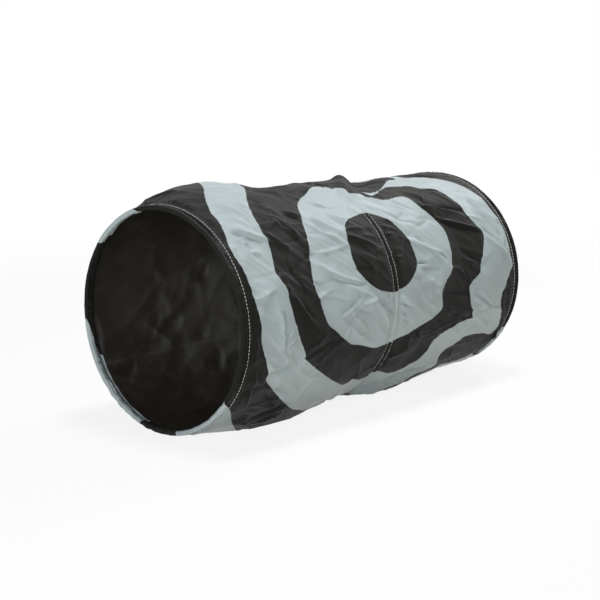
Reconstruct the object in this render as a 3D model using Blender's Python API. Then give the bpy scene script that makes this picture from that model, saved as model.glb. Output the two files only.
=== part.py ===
# Cat tunnel: a sleeve of thin printed cloth held open by three spring-steel hoops.
#
# +Y runs along the tunnel from the front mouth to the rear one, +Z is up, and the floor
# is z = 0. The origin is on the floor under the middle hoop. Every hoop is a closed ring
# of wire in a channel of cloth: the sleeve's own hem at each mouth, and a tape sewn
# inside the sleeve at the middle. Lengths are in metres, angles in degrees counted from
# the top of the tunnel towards +X.

import math

import bmesh
import bpy
from mathutils import Vector

# The tunnel as a whole
tunnel_length = 0.500
rim_diameter = 0.250
middle_rim_diameter = 0.254

# Cloth: its thickness, the hem folded inwards at each mouth, and the tape at the middle
cloth_thickness = 0.0007
hem_depth = 0.0135
hem_stitch_depth = 0.0105
tape_width = 0.0130
tape_stitch_spacing = 0.0076

# Hoops: round spring wire whose ends meet in a crimped steel sleeve
wire_diameter = 0.0020
wire_end_gap = 0.0010
crimp_length = 0.0180
crimp_wall = 0.0004
crimp_angle = 240.0

# Clearance wherever two pieces touch
seat_gap = 0.0003

# How the slack cloth hangs between two hoops: how far each fold stands out or in
slack_swell = 0.0010
crown_swell = 0.0180
front_sag = 0.0130
rear_sag = 0.0120
ridge_height = 0.0080
valley_depth = 0.0105
dent_depth = 0.0060
side_dent_depth = 0.0040

# Where each fold lies: shares of the way from the tape to the hem for its middle and
# its reach, then the angle of its middle and how far round it reaches. A fold may lean:
# its middle moves by that share for each degree round.
crown_swell_shares = (0.85, 0.63)
crown_swell_angles = (-12.0, 80.0)
front_sag_shares = (0.54, 0.70)
front_sag_angles = (168.0, 51.0)
rear_sag_shares = (0.20, 0.58)
rear_sag_angles = (170.0, 53.0)
ridge_shares = (0.22, 0.10)
ridge_angles = (-3.0, 28.0)
ridge_lean_share = -0.0098
valley_shares = (0.295, 0.22)
valley_angles = (2.0, 31.0)
valley_lean_share = -0.0085
dent_shares = (0.81, 0.49)
dent_angles = (-6.0, 46.0)
side_dent_shares = (0.52, 0.30)
side_dent_angles = (62.0, 40.0)

# How finely round shapes are cut: steps round a hoop, and sides of a wire
hoop_steps = 60
wire_sides = 6
loop_steps = 6
span_shares = (0.07, 0.15, 0.23, 0.32, 0.45, 0.63, 0.82, 0.94)

# Sizes that follow from the ones above
half_length = tunnel_length / 2
rim_radius = rim_diameter / 2
middle_rim_radius = middle_rim_diameter / 2
wire_radius = wire_diameter / 2
crimp_bore_radius = wire_radius + seat_gap
crimp_radius = crimp_bore_radius + crimp_wall
loop_radius = crimp_radius + seat_gap + cloth_thickness / 2
roll_radius = loop_radius + cloth_thickness / 2
end_wire_radius = rim_radius - roll_radius
middle_wire_radius = middle_rim_radius - cloth_thickness - seat_gap - crimp_radius
free_end = half_length - hem_depth - seat_gap
free_start = tape_width / 2


def material(name, colour, roughness, metallic=0.0):
    made = bpy.data.materials.new(name)
    made.use_nodes = True
    shader = made.node_tree.nodes["Principled BSDF"]
    shader.inputs["Base Color"].default_value = (*colour, 1.0)
    shader.inputs["Roughness"].default_value = roughness
    shader.inputs["Metallic"].default_value = metallic
    made.diffuse_color = (*colour, 1.0)
    return made


def place(name, data, worn):
    piece = bpy.data.objects.new(name, data)
    bpy.context.scene.collection.objects.link(piece)
    data.materials.append(worn)
    return piece


def on_hoop(angle, radius, along, height):
    """The point of a hoop at an angle from the top, with the hoop's middle at a height."""
    turn = math.radians(angle)
    return Vector((radius * math.sin(turn), along, height + radius * math.cos(turn)))


def window(distance, reach):
    """1 in the middle of a fold, falling smoothly to 0 at its reach."""
    if abs(distance) >= reach:
        return 0.0
    return 0.5 + 0.5 * math.cos(math.pi * distance / reach)


def banded(path, thickness):
    """The closed outline of a strip of cloth that follows an open path of points."""
    sides = ([], [])
    for number, point in enumerate(path):
        before = (point - path[number - 1]).normalized() if number else None
        after = (path[number + 1] - point).normalized() if number < len(path) - 1 else None
        mean = ((before or after) + (after or before)).normalized()
        across = Vector((-mean.y, mean.x))
        widening = 1.0 / mean.dot(after or before)
        for side, sign in zip(sides, (1, -1)):
            side.append(point + across * sign * widening * thickness / 2)
    return sides[0] + sides[1][::-1]


def loop_round_wire(wire_at, first, last):
    """Points of the cloth's middle line where it bends round a wire."""
    points = []
    for step in range(loop_steps + 1):
        turn = math.radians(first + (last - first) * step / loop_steps)
        points.append(wire_at + loop_radius * Vector((math.cos(turn), math.sin(turn))))
    return points


def turned(name, outline, height, worn):
    """A closed outline of (along, radius) points spun right round the tunnel's axis."""
    shape = bmesh.new()
    corners = [shape.verts.new(on_hoop(180, p.y, p.x, height)) for p in outline]
    edges = [shape.edges.new((a, b)) for a, b in zip(corners, corners[1:] + corners[:1])]
    bmesh.ops.spin(
        shape,
        geom=corners + edges,
        cent=(0, 0, height),
        axis=(0, 1, 0),
        angle=math.tau,
        steps=hoop_steps,
        use_merge=True,
    )
    bmesh.ops.remove_doubles(shape, verts=shape.verts, dist=seat_gap / 100)
    bmesh.ops.recalc_face_normals(shape, faces=shape.faces)
    mesh = bpy.data.meshes.new(name)
    shape.to_mesh(mesh)
    shape.free()
    mesh.shade_smooth()
    mesh.set_sharp_from_angle(angle=math.radians(50))
    return place(name, mesh, worn)


def hem(name, side, worn):
    """The sleeve's end, folded inwards over the hoop and sewn to itself."""
    mouth = side * half_length
    outer = rim_radius - cloth_thickness / 2
    inner = outer - cloth_thickness - seat_gap
    wire_at = Vector((roll_radius, end_wire_radius))
    path = [Vector((hem_depth, outer))]
    path += loop_round_wire(wire_at, 90, 270)
    path += [Vector((hem_stitch_depth, inner)), Vector((hem_depth, inner))]
    outline = [Vector((mouth - side * p.x, p.y)) for p in banded(path, cloth_thickness)]
    return turned(name, outline, rim_radius, worn)


def tape(name, worn):
    """The tape inside the sleeve, sewn down on both sides of the middle hoop."""
    flat = middle_rim_radius - cloth_thickness - seat_gap - cloth_thickness / 2
    path = [Vector((-tape_width / 2, flat)), Vector((-tape_stitch_spacing / 2, flat))]
    path += loop_round_wire(Vector((0, middle_wire_radius)), 180, 360)
    path += [Vector((tape_stitch_spacing / 2, flat)), Vector((tape_width / 2, flat))]
    return turned(name, banded(path, cloth_thickness), middle_rim_radius, worn)


def hoop(name, along, radius, height, worn):
    """A ring of wire that is open by a small gap, where the crimp covers its ends."""
    step = 360 / hoop_steps
    parted = math.degrees(wire_end_gap / radius) / 2
    angles = [crimp_angle + parted]
    angles += [crimp_angle + step * number for number in range(1, hoop_steps)]
    angles += [crimp_angle + 360 - parted]
    curve = bpy.data.curves.new(name, "CURVE")
    curve.dimensions = "3D"
    curve.bevel_depth = wire_radius
    curve.bevel_resolution = (wire_sides - 4) // 2
    curve.use_fill_caps = True
    spline = curve.splines.new("POLY")
    spline.points.add(len(angles) - 1)
    for point, angle in zip(spline.points, angles):
        point.co = (*on_hoop(angle, radius, along, height), 1.0)
    return place(name, curve, worn)


def crimp(name, along, radius, height, worn):
    """The steel sleeve over the wire's two ends, bent with the hoop."""
    reach = math.degrees(crimp_length / radius)
    start = crimp_angle - reach / 2
    shape = bmesh.new()
    loops = []
    centre = on_hoop(start, radius, along, height)
    outwards = (centre - Vector((0, along, height))).normalized()
    for size in (crimp_radius, crimp_bore_radius):
        ring = []
        for side in range(2 * wire_sides):
            turn = math.tau * side / (2 * wire_sides)
            across = outwards * math.cos(turn) + Vector((0, math.sin(turn), 0))
            ring.append(shape.verts.new(centre + size * across))
        loops.append([shape.edges.new(pair) for pair in zip(ring, ring[1:] + ring[:1])])
    bmesh.ops.bridge_loops(shape, edges=loops[0] + loops[1])
    bmesh.ops.spin(
        shape,
        geom=shape.verts[:] + shape.edges[:] + shape.faces[:],
        cent=(0, along, height),
        axis=(0, 1, 0),
        angle=math.radians(reach),
        steps=4,
    )
    bmesh.ops.recalc_face_normals(shape, faces=shape.faces)
    mesh = bpy.data.meshes.new(name)
    shape.to_mesh(mesh)
    shape.free()
    mesh.shade_smooth()
    mesh.set_sharp_from_angle(angle=math.radians(50))
    return place(name, mesh, worn)


def sleeve_point(side, share, angle):
    """A point of the sleeve's outer face, at a share of the way from the tape to the hem."""
    along = free_start + share * (free_end - free_start)
    hoop_radius = middle_rim_radius + share * (rim_radius - middle_rim_radius)
    slack = 1 - abs(2 * share - 1) ** 3

    def fold(shares, angles, lean=0.0):
        away = (angle - angles[0] + 180) % 360 - 180
        return window(share - shares[0] - lean * away, shares[1]) * window(away, angles[1])

    swell = slack_swell
    if side < 0:
        swell += crown_swell * fold(crown_swell_shares, crown_swell_angles)
        swell += front_sag * fold(front_sag_shares, front_sag_angles)
    else:
        swell += ridge_height * fold(ridge_shares, ridge_angles, ridge_lean_share)
        swell -= valley_depth * fold(valley_shares, valley_angles, valley_lean_share)
        swell -= dent_depth * fold(dent_shares, dent_angles)
        swell += rear_sag * fold(rear_sag_shares, rear_sag_angles)
    swell -= side_dent_depth * fold(side_dent_shares, side_dent_angles)
    point = on_hoop(angle, hoop_radius + swell * slack, side * along, hoop_radius)
    point.z = max(0.0, point.z)
    return point


def cover(name, side, worn):
    """One half of the sleeve, from the middle hoop's line of stitches to a hem."""
    shape = bmesh.new()
    steps = [360 * number / hoop_steps for number in range(hoop_steps)]
    start = [on_hoop(a, middle_rim_radius, side * seat_gap / 2, middle_rim_radius) for a in steps]
    rows = [start]
    for share in (0, *span_shares, 1):
        rows.append([sleeve_point(side, share, angle) for angle in steps])
    rows = [[shape.verts.new(point) for point in row] for row in rows]
    for near, far in zip(rows, rows[1:]):
        for number in range(hoop_steps):
            after = (number + 1) % hoop_steps
            shape.faces.new((near[number], near[after], far[after], far[number]))
    bmesh.ops.recalc_face_normals(shape, faces=shape.faces)
    mesh = bpy.data.meshes.new(name)
    shape.to_mesh(mesh)
    shape.free()
    mesh.shade_smooth()
    piece = place(name, mesh, worn)
    solid = piece.modifiers.new("Cloth", "SOLIDIFY")
    solid.thickness = cloth_thickness
    solid.offset = -1
    solid.use_even_offset = True
    return piece


def build():
    for old in list(bpy.data.objects):
        bpy.data.objects.remove(old, do_unlink=True)

    printed = material("printed polyester cloth", (0.36, 0.42, 0.44), 0.55)
    black = material("black polyester cloth", (0.03, 0.03, 0.03), 0.55)
    steel = material("spring steel wire", (0.45, 0.45, 0.46), 0.35, 1.0)
    zinc = material("zinc-plated steel", (0.60, 0.60, 0.58), 0.30, 1.0)

    end_wire = half_length - roll_radius
    stations = (
        ("front", -end_wire, end_wire_radius, rim_radius),
        ("middle", 0, middle_wire_radius, middle_rim_radius),
        ("rear", end_wire, end_wire_radius, rim_radius),
    )
    for where, along, radius, height in stations:
        hoop(f"{where}_hoop", along, radius, height, steel)
        crimp(f"{where}_crimp", along, radius, height, zinc)
    for where, side in (("front", -1), ("rear", 1)):
        hem(f"{where}_hem", side, black)
        cover(f"{where}_cover", side, printed)
    tape("middle_channel", black)


build()
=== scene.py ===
# Pop-up pet tunnel: printed polyester sleeve on three spring-steel hoops.
import math

import bpy
import numpy as np
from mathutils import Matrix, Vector


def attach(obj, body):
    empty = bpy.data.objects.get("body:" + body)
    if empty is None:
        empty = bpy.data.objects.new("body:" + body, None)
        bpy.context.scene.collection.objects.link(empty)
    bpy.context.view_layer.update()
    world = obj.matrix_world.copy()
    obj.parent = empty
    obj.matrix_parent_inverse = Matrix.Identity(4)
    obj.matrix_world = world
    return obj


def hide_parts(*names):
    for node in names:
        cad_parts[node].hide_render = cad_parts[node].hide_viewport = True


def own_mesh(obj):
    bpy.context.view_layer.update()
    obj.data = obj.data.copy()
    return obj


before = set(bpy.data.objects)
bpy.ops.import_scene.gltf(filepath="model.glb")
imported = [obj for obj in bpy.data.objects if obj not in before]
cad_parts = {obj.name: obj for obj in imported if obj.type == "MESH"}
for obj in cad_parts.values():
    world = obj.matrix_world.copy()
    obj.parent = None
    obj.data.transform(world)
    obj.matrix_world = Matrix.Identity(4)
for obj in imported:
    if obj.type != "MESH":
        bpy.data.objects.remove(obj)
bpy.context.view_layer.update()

print("frame loaded")

# Sleeve sizes in mm, angles in degrees from the top towards +X, as in the part
sleeve = {
    "halfLength": 250.0,
    "rimRadius": 125.0,
    "middleRadius": 127.0,
    "cloth": 0.6,  # printed taffeta with its coating, drawn thicker than it is
    "swell": 1.0,  # how far the slack cloth stands out all round
    "hemDepth": 13.5,
    "hemStitchDepth": 10.5,
    "hemGap": 0.35,  # between the hem's two layers
    "hemOverlap": 0.15,  # how far sleeve and hem each run past the line between them
    "rollRadius": 2.7,  # the hem round its wire
    "tapeWidth": 13.0,
    "tapeRow": 3.8,  # from the middle hoop to each row of stitches
}
hemStart = sleeve["halfLength"] - sleeve["hemDepth"]
coverEnd = hemStart + sleeve["hemOverlap"]
slackStart = sleeve["tapeWidth"] / 2
slackEnd = hemStart - 0.3
arcPerDegree = math.tau * sleeve["rimRadius"] / 360  # mm of cloth round the hoop
clothRound = 360 * arcPerDegree
clothStart = -120  # degrees: the lengthwise seam, at the bottom on the far side

# Large folds of each half: height, then centre and reach as shares of the way from
# tape to hem, centre and reach in degrees, and how far the crest leans per degree
bigFolds = {
    -1: [
        (18.0, 0.85, 0.63, -12.0, 80.0, 0.0),  # crown behind the front mouth
        (13.0, 0.54, 0.70, 168.0, 51.0, 0.0),  # slack that lies on the floor
        (-4.0, 0.52, 0.30, 62.0, 40.0, 0.0),
    ],
    1: [
        (8.0, 0.22, 0.10, -3.0, 28.0, -0.0098),  # ridge behind the middle hoop
        (-11.5, 0.295, 0.22, 2.0, 31.0, -0.0085),  # and the valley beside it
        (-6.0, 0.81, 0.49, -6.0, 46.0, 0.0),
        (12.0, 0.20, 0.58, 170.0, 53.0, 0.0),
        (-4.0, 0.52, 0.30, 62.0, 40.0, 0.0),
    ],
}


def window(distance, reach):  # 1 in the middle of a fold, 0 at its reach
    near = np.clip(np.abs(distance) / reach, 0, 1)
    return 0.5 + 0.5 * np.cos(np.pi * near)


def smooth(t):  # eases in and out between 0 and 1
    return t * t * (3 - 2 * t)


def turned(angle):  # the same angle between -180 and 180
    return (angle + 180) % 360 - 180


def roundHoop(radius, y, angle, middle, floor=0.0):  # points round the tunnel, none below the floor
    turn = np.radians(angle)
    height = np.maximum(middle + radius * np.cos(turn), floor)
    return np.stack([radius * np.sin(turn), y + 0 * turn, height], -1)


def sleeveSurface(along, angle):  # outer face of the cloth, in mm
    share = np.clip((np.abs(along) - slackStart) / (slackEnd - slackStart), 0, 1)
    slack = 1 - np.abs(2 * share - 1) ** 3
    hoopRadius = sleeve["middleRadius"] + share * (sleeve["rimRadius"] - sleeve["middleRadius"])
    swell = sleeve["swell"] * slack
    for side, folds in bigFolds.items():
        here = (np.sign(along) == side) * slack
        for height, share0, shareReach, angle0, angleReach, lean in folds:
            away = turned(angle - angle0)
            crest = window(share - share0 - lean * away, shareReach) * window(away, angleReach)
            swell = swell + here * height * crest
    return roundHoop(hoopRadius + swell, along, angle, hoopRadius)


# Creases seen on the cloth: height and width in mm, then points as (mm along, degrees)
creases = [
    (3.6, 2.6, [(-222, 37), (-211, 39), (-200, 43), (-189, 45), (-179, 47)]),
    (-3.4, 2.0, [(-221, 39), (-208, 42), (-194, 46), (-186, 48)]),
    (-2.6, 1.8, [(-211, 46), (-208, 49), (-206, 51)]),
    (1.8, 2.4, [(-222, 40), (-219, 44), (-214, 47)]),
    (-2.2, 2.4, [(-210, 51), (-205, 53), (-199, 55)]),
    (1.6, 2.4, [(-207, 50), (-202, 52), (-195, 53)]),
    (2.3, 2.5, [(-194, 20), (-192, 24), (-189, 29), (-181, 33)]),
    (-1.8, 2.2, [(-190, 21), (-184, 25), (-177, 28)]),
    (1.8, 4.0, [(-202, 10), (-194, 16), (-182, 21), (-176, 26)]),
    (1.4, 3.0, [(-208, 18), (-202, 26), (-193, 31), (-181, 35)]),
    (1.3, 3.0, [(-212, 27), (-202, 33), (-192, 39)]),
    (1.4, 3.0, [(-229, 42), (-229, 49), (-227, 55)]),
    (1.4, 2.4, [(-215, 64), (-213, 69), (-213, 73), (-212, 76)]),
    (3.4, 3.0, [(-128, 11), (-113, 15), (-97, 20), (-89, 24)]),
    (-2.9, 2.2, [(-111, 9), (-93, 14), (-82, 21)]),
    (2.2, 2.2, [(-82, 6), (-72, 13), (-67, 17)]),
    (-1.8, 3.0, [(-160, 22), (-151, 26), (-148, 29)]),
    (1.4, 2.5, [(-162, 24), (-155, 28), (-150, 31)]),
    (2.2, 2.2, [(-129, 31), (-119, 33), (-109, 35)]),
    (-1.6, 2.0, [(-132, 33), (-121, 36), (-112, 37)]),
    (1.6, 2.0, [(-160, 35), (-155, 39), (-150, 42)]),
    (2.9, 2.4, [(-178, 42), (-171, 46), (-162, 50), (-152, 52)]),
    (1.4, 3.0, [(-146, 38), (-128, 40), (-110, 40)]),
    (-2.0, 3.0, [(-84, 26), (-69, 29), (-55, 32), (-36, 32)]),
    (2.9, 2.6, [(-97, 33), (-90, 38), (-82, 42), (-72, 47), (-59, 49)]),
    (-1.8, 2.2, [(-97, 38), (-87, 43), (-78, 48)]),
    (3.2, 2.6, [(-105, 39), (-97, 45), (-83, 50), (-69, 55), (-63, 58)]),
    (-2.5, 2.0, [(-86, 50), (-78, 53), (-72, 57), (-65, 59)]),
    (-1.8, 1.8, [(-78, 57), (-72, 60), (-69, 62)]),
    (2.7, 3.0, [(-116, 62), (-107, 67), (-92, 71), (-75, 74), (-54, 77)]),
    (-2.2, 2.4, [(-106, 70), (-91, 73), (-72, 76), (-50, 78)]),
    (-1.8, 3.0, [(-101, 58), (-96, 63), (-91, 64)]),
    (2.9, 2.0, [(-59, 51), (-42, 54), (-30, 57), (-18, 60)]),
    (1.6, 1.8, [(-32, 52), (-18, 54), (-10, 56)]),
    (2.0, 1.8, [(-24, 63), (-16, 61), (-4, 60)]),
    (1.8, 1.8, [(9, 49), (17, 50), (30, 53)]),
    (2.0, 1.6, [(0, 54), (12, 54), (20, 54)]),
    (1.8, 1.6, [(2, 67), (12, 67), (22, 67)]),
    (1.3, 2.0, [(-41, 67), (-37, 70), (-33, 73)]),
    (-1.6, 2.5, [(38, 47), (58, 43), (62, 46)]),
    (-1.6, 2.0, [(57, 57), (63, 60), (66, 62)]),
    (2.7, 2.4, [(47, 58), (59, 62), (76, 66), (95, 68), (106, 71)]),
    (-2.3, 2.0, [(89, 68), (100, 70), (106, 73)]),
    (-3.6, 1.6, [(45, 72), (57, 72), (64, 73)]),
    (2.5, 1.4, [(46, 73), (61, 74)]),
    (-1.6, 3.0, [(63, 52), (82, 51), (102, 48)]),
    (3.4, 3.0, [(93, 28), (112, 31), (117, 37), (134, 42), (158, 46), (171, 51)]),
    (-2.9, 2.2, [(113, 34), (130, 40), (158, 43), (173, 47)]),
    (3.5, 2.6, [(115, 46), (135, 50), (155, 54), (177, 58), (185, 61)]),
    (-3.2, 2.2, [(123, 49), (144, 54), (166, 58), (179, 61)]),
    (2.2, 2.4, [(117, 26), (138, 28), (155, 34), (169, 38)]),
    (2.5, 2.0, [(109, 77), (122, 78), (130, 81), (137, 85)]),
    (-2.7, 3.2, [(196, 40), (202, 44), (203, 49), (207, 54), (214, 60), (221, 65)]),
    (1.8, 2.6, [(209, 41), (212, 47), (216, 54), (221, 62)]),
    (3.4, 2.2, [(186, 62), (198, 67), (213, 72), (230, 76)]),
    (1.8, 1.6, [(229, 64), (217, 72)]),
    (-2.2, 2.4, [(226, 56), (231, 58)]),
    (1.4, 3.0, [(197, 29), (205, 37), (216, 42)]),
    (1.3, 2.0, [(202, 72), (210, 76), (219, 80)]),
    (-1.4, 2.2, [(47, 75), (65, 76), (85, 78)]),
    (-1.4, 2.0, [(32, 79), (47, 80)]),
    (-1.8, 1.8, [(64, 88), (80, 90)]),
    (3.2, 2.4, [(-198, 75), (-196, 81), (-193, 87), (-192, 92), (-189, 101)]),
    (-1.8, 2.4, [(-188, 82), (-186, 87), (-185, 92)]),
    (2.3, 1.5, [(-180, 103), (-174, 100), (-168, 98)]),
    (2.2, 1.5, [(-184, 100), (-175, 97), (-171, 96)]),
    (-1.8, 1.4, [(-178, 102), (-172, 98)]),
    (1.4, 1.6, [(-186, 96), (-179, 94), (-174, 92)]),
    (-3.2, 2.6, [(-203, 112), (-184, 113), (-174, 112), (-166, 110)]),
    (2.3, 2.4, [(-206, 109), (-186, 110), (-180, 108), (-180, 104)]),
    (-2.3, 2.4, [(-176, 113), (-163, 112), (-151, 110)]),
    (1.6, 2.6, [(-188, 116), (-167, 115), (-148, 113)]),
    (-2.3, 3.0, [(-149, 108), (-136, 106), (-124, 104), (-108, 102)]),
    (1.8, 3.0, [(-152, 103), (-133, 101), (-119, 96)]),
    (2.7, 2.4, [(-172, 74), (-165, 79), (-157, 84), (-149, 89), (-138, 94)]),
    (-1.8, 3.0, [(-160, 77), (-152, 84), (-141, 90)]),
    (-2.7, 2.6, [(-186, 123), (-165, 127), (-144, 131)]),
    (1.6, 2.6, [(-178, 125), (-151, 132), (-130, 136)]),
    (1.8, 3.0, [(-117, 138), (-87, 141), (-55, 146)]),
    (-2.9, 3.0, [(-112, 144), (-62, 151), (-16, 157)]),
    (2.5, 3.0, [(-224, 108), (-223, 116), (-222, 123), (-214, 135)]),
    (-2.5, 2.4, [(-205, 122), (-192, 127), (-179, 132), (-169, 137)]),
    (1.6, 2.0, [(-219, 110), (-204, 118)]),
    (1.6, 2.5, [(-231, 92), (-231, 98), (-232, 106)]),
    (3.4, 2.2, [(-44, 82), (-40, 88), (-28, 92), (-17, 97), (-10, 102)]),
    (-2.9, 2.2, [(-63, 82), (-80, 87), (-93, 89), (-100, 90)]),
    (2.3, 2.4, [(-64, 84), (-81, 88), (-100, 92)]),
    (-2.5, 2.4, [(-51, 87), (-66, 90), (-77, 93), (-87, 97), (-90, 101)]),
    (1.8, 2.4, [(-43, 86), (-63, 88), (-76, 91)]),
    (3.4, 2.0, [(4, 87), (14, 89), (25, 92), (36, 94)]),
    (-2.5, 1.8, [(5, 89), (18, 92), (34, 94)]),
    (-2.2, 2.0, [(-18, 84), (-11, 86)]),
    (1.6, 1.5, [(3, 92), (16, 93)]),
    (1.6, 1.5, [(4, 96), (17, 98)]),
    (-1.4, 1.8, [(10, 99), (30, 102)]),
    (1.8, 1.6, [(-90, 101), (-84, 98)]),
    (1.3, 2.2, [(-67, 103), (-45, 103)]),
    (2.5, 2.0, [(21, 165), (4, 151), (-10, 138), (-4, 132)]),
    (1.8, 1.6, [(11, 148), (12, 141)]),
    (2.2, 1.8, [(27, 139), (52, 150)]),
    (-2.3, 2.4, [(151, 92), (168, 96), (186, 101), (203, 105)]),
    (2.2, 2.0, [(147, 94), (162, 98), (181, 102)]),
    (3.9, 4.0, [(147, 105), (162, 108), (181, 113), (209, 119)]),
    (-3.2, 3.2, [(158, 109), (177, 114), (208, 121)]),
    (3.4, 2.4, [(98, 99), (123, 102), (151, 106)]),
    (-2.5, 2.2, [(102, 101), (123, 104), (148, 108)]),
    (-3.5, 3.0, [(86, 90), (115, 92), (140, 92)]),
    (1.4, 2.5, [(91, 93), (138, 95)]),
    (2.2, 2.0, [(144, 129), (147, 136)]),
    (3.4, 1.8, [(229, 129), (230, 124), (235, 122)]),
    (2.9, 1.8, [(236, 134), (236, 128), (236, 125)]),
    (2.2, 2.0, [(234, 102), (234, 109), (234, 114)]),
    (1.8, 3.0, [(72, 111), (99, 108), (128, 107)]),
    (-4.5, 3.6, [(-198, 143), (-182, 142), (-168, 140), (-152, 137), (-129, 137)]),
    (3.5, 2.6, [(-185, 149), (-171, 148), (-159, 145), (-142, 143)]),
    (-4.2, 3.2, [(-2, 149), (18, 147), (35, 144), (52, 139), (75, 138), (104, 138)]),
    (2.9, 2.6, [(14, 158), (31, 155), (49, 152), (62, 146)]),
]
slackCreases = {  # more creases of the same kind, all round
    "seed": 7,
    "number": 430,
    "length": (16.0, 80.0),
    "height": (0.7, 2.8),
    "width": (1.6, 4.4),
    "lean": (18, 34),  # degrees away from the tunnel's length: mean and spread
    "bend": 0.06,  # spread, as a share of the length
    "shownSide": (-8, 128),  # degrees; this side has its own creases above
    "shownShare": 0.75,  # of their height on that side
    "hiddenShare": 0.7,  # and on the rest
    "reach": 226,  # mm along, each way
    "puckers": 84,  # short ones that start at each row of stitches
    "puckerRows": ((-7.5, -1), (7.5, 1), (-235.5, 1), (235.5, -1)),  # mm along, and which way
    "puckerLength": (7.0, 20.0),
    "puckerHeight": (0.25, 0.8),
    "puckerWidth": (1.3, 2.6),
    "puckerLean": 0.35,  # spread of their drift sideways, as a share of the length
}
creaseShape = {  # of every crease
    "flanks": (1.35, 0.75),  # share of its width: the gentle one and the steep one
    "tip": 0.5,  # mm, how round its crest is
    "taper": 0.6,
    "hemFade": 7,  # mm over which the creases die out at the hem
    "channelFade": (5, 6),  # and at the channel: where it starts, and over how far
}


def scatteredCreases():
    sizes = slackCreases
    draw = np.random.default_rng(sizes["seed"])
    found = []
    for _ in range(sizes["number"]):
        along, angle = draw.uniform(-sizes["reach"], sizes["reach"]), clothStart + draw.uniform(0, 360)
        length, width = draw.uniform(*sizes["length"]), draw.uniform(*sizes["width"])
        height = draw.uniform(*sizes["height"]) * draw.choice([1, 1, -1])
        lean = math.radians(draw.normal(*sizes["lean"]))
        shown = sizes["shownSide"][0] < angle < sizes["shownSide"][1]
        bend = draw.normal(0, sizes["bend"]) * length
        height *= sizes["shownShare" if shown else "hiddenShare"]
        points = []
        for step in (-0.5, 0.0, 0.5):
            out = bend * (1 - 4 * step * step)
            u = along + length * step * math.cos(lean) - out * math.sin(lean)
            v = angle + (length * step * math.sin(lean) + out * math.cos(lean)) / arcPerDegree
            points.append((u, v))
        found.append((height, width, points))
    for edge, way in sizes["puckerRows"]:
        for number in range(sizes["puckers"]):
            angle = clothStart + 360 * (number + draw.uniform(0, 0.8)) / sizes["puckers"]
            length = draw.uniform(*sizes["puckerLength"])
            height = draw.uniform(*sizes["puckerHeight"])
            width = draw.uniform(*sizes["puckerWidth"])
            drift = draw.normal(0, sizes["puckerLean"]) * length / arcPerDegree
            start = (edge - way * length * 0.5, angle - drift * 0.5)
            found.append((height, width, [start, (edge, angle), (edge + way * length, angle + drift)]))
    return found


def pressCreases(along, angle, found):  # the creases' height at each point of a grid
    relief = np.zeros_like(along)
    gentle, steep = creaseShape["flanks"]
    tip = creaseShape["tip"]
    flatU, flatV = along.ravel(), angle.ravel() * arcPerDegree
    for height, width, points in found:
        path = np.array([(u, v * arcPerDegree) for u, v in points], float)
        middle = (path.min(0) + path.max(0)) / 2
        reach = (path.max(0) - path.min(0)) / 2 + 5 * width
        v = (flatV - middle[1] + clothRound / 2) % clothRound - clothRound / 2 + middle[1]
        inReach = (np.abs(flatU - middle[0]) < reach[0]) & (np.abs(v - middle[1]) < reach[1])
        near = np.flatnonzero(inReach)
        if not len(near):
            continue
        spot = np.stack([flatU[near], v[near]], -1)
        steps = np.diff(path, axis=0)
        lengths = np.linalg.norm(steps, axis=1)
        before = np.concatenate([[0], np.cumsum(lengths)])
        best, where, side = np.full(len(near), 1e9), np.zeros(len(near)), np.zeros(len(near))
        for start, step, length, walked in zip(path, steps, lengths, before):
            offset = spot - start
            t = np.clip(offset @ step / length**2, 0, 1)
            distance = np.linalg.norm(offset - t[:, None] * step, axis=1)
            closer = distance < best
            best = np.where(closer, distance, best)
            where = np.where(closer, (walked + t * length) / before[-1], where)
            side = np.where(closer, np.sign(step[0] * offset[:, 1] - step[1] * offset[:, 0]), side)
        wide = width * np.where(side > 0, gentle, steep)
        crest = np.exp(tip / wide - np.sqrt(best**2 + tip**2) / wide)
        taper = np.clip(4 * where * (1 - where), 0, 1) ** creaseShape["taper"]
        relief.ravel()[near] += height * crest * taper
    return relief


facets = {  # broad panels between sharp ridges, from three layers of noise
    "layers": [  # spacing along and around in mm, height in mm, how far they lean, seed
        (64.0, 41.0, 3.4, 0.45, 3),
        (54.0, 19.0, 2.5, -0.55, 14),
        (33.0, 10.5, 0.85, -0.9, 12),
    ],
    "shown": 0.8,  # the share of it on the side with its own creases
    "hidden": 0.6,  # and on the far side
    "shownMiddle": 60,  # that side's middle and reach in degrees, and how soon it blends
    "shownReach": 62,
    "shownBlend": 20,
}


def latticeNoise(u, v, cellsRound, seed):  # smooth noise, 0 to 1, that closes round the hoop
    table = np.random.default_rng(seed).uniform(0, 1, (64, cellsRound))
    i, j = np.floor(u).astype(int), np.floor(v).astype(int)
    a, b = smooth(u - i), smooth(v - j)
    read = lambda di, dj: table[(i + di) % 64, (j + dj) % cellsRound]
    near = read(0, 0) * (1 - a) + read(1, 0) * a
    far = read(0, 1) * (1 - a) + read(1, 1) * a
    return near * (1 - b) + far * b


def facetRelief(along, angle):
    arc = (angle % 360) * arcPerDegree
    relief = np.zeros_like(along)
    for spacing, spacingRound, height, lean, seed in facets["layers"]:
        cells = round(clothRound / spacingRound)
        leaning = (arc + lean * along) / clothRound * cells
        noise = latticeNoise(along / spacing + 20, leaning, cells, seed)
        relief += height * (0.5 - np.abs(2 * noise - 1))
    away = np.abs(angle - facets["shownMiddle"]) - facets["shownReach"]
    hidden = np.clip(away / facets["shownBlend"], 0, 1)
    return relief * (facets["shown"] + (facets["hidden"] - facets["shown"]) * hidden)


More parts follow.
